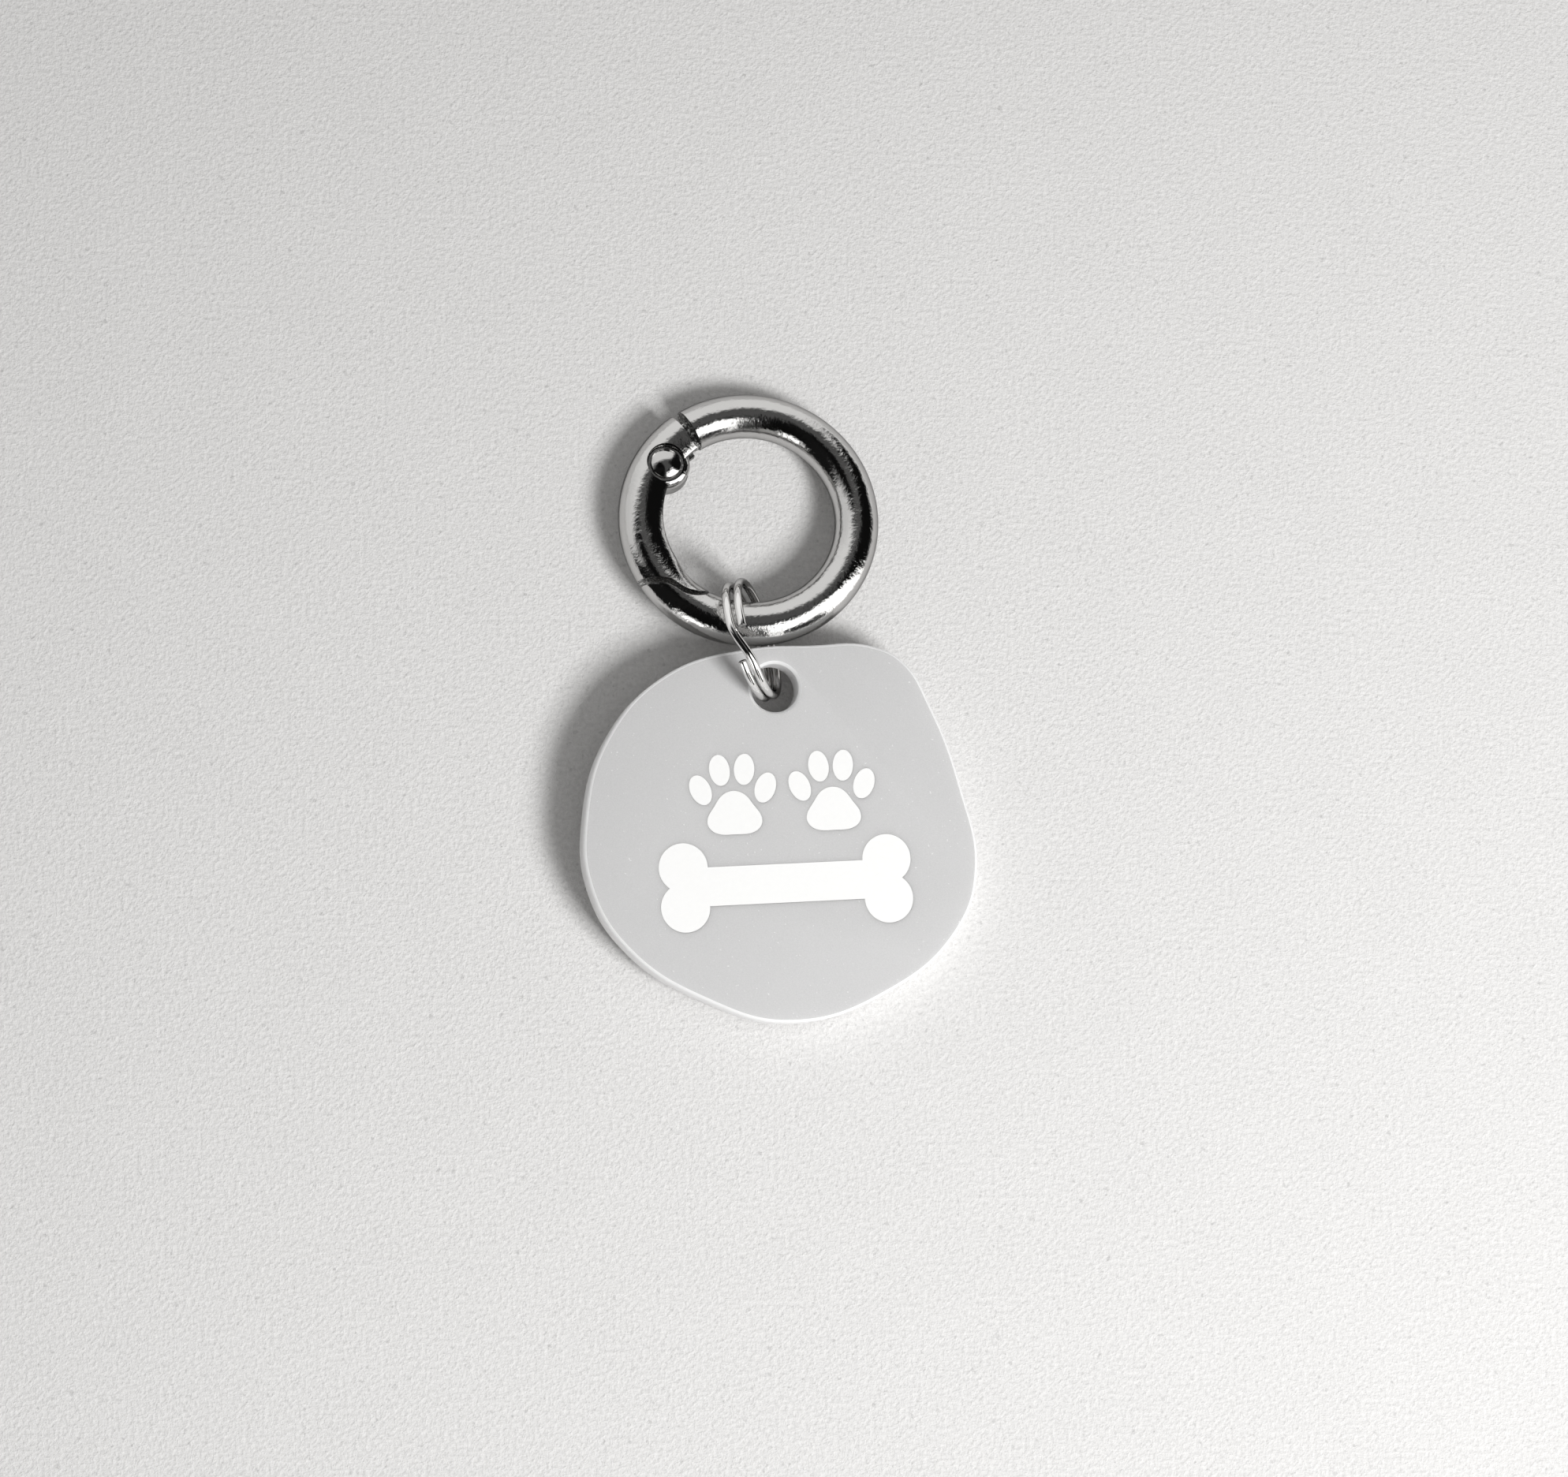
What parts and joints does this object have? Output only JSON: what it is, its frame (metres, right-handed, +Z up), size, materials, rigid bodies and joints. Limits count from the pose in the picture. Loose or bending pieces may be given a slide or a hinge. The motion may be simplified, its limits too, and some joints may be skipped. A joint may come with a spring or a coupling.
{
  "type": "pet identity tag",
  "caption": "Pebble-shaped acrylic pet tag with a filled engraving, on a two-turn split ring hung from a round spring-gate clip.",
  "frame": {"origin": "middle of the set's footprint on the surface it lies on, z = 0 at the surface", "axes": "+Z up from the surface; +Y from the disc's foot towards the clip, which is the tag's upright direction; +X to the right of someone who reads the disc"},
  "size_m": [0.0378, 0.0608, 0.0116],
  "materials": {
    "bright_cast_metal": "mirror plated casting",
    "riveted_pin": "plated, slightly duller than the clip",
    "spring_steel": "drawn wire",
    "bright_steel_wire": "bright drawn wire",
    "frosted_acrylic": "frosted sheet with cut edges",
    "white_paint": "flat paint filled into the engraving"
  },
  "bodies": {
    "clip_frame": {"ring_frame": "bright_cast_metal", "gate_spring": "spring_steel"},
    "clip_gate": {"gate": "bright_cast_metal", "hinge_pin": "riveted_pin"},
    "wire_ring": {"split_ring": "bright_steel_wire"},
    "tag": {"tag_disc": "frosted_acrylic", "bone_fill": "white_paint", "left_paw_pad_fill": "white_paint", "left_paw_toe_1_fill": "white_paint", "left_paw_toe_2_fill": "white_paint", "left_paw_toe_3_fill": "white_paint", "left_paw_toe_4_fill": "white_paint", "right_paw_pad_fill": "white_paint", "right_paw_toe_1_fill": "white_paint", "right_paw_toe_2_fill": "white_paint", "right_paw_toe_3_fill": "white_paint", "right_paw_toe_4_fill": "white_paint"}
  },
  "joints": [
    {"name": "gate_hinge", "type": "hinge", "parent": "clip_frame", "child": "clip_gate", "pos_m": [-0.01028, 0.02301, 0.00258], "axis": [-0.0003, 0.0907, 0.9959], "range_deg": [0, 28], "stiffness_Nm_per_rad": 0.02, "springref_deg": -20.05},
    {"name": "split_ring_travel", "type": "hinge", "parent": "clip_frame", "child": "wire_ring", "pos_m": [-0.00234, 0.01791, 0.00304], "axis": [-0.0003, 0.0907, 0.9959], "range_deg": [-3, 196]},
    {"name": "tag_swing", "type": "hinge", "parent": "wire_ring", "child": "tag", "pos_m": [-0.00251, 0.00568, 0.00582], "axis": [-0.9098, -0.2353, -0.342], "range_deg": [-3, 98]}
  ]
}
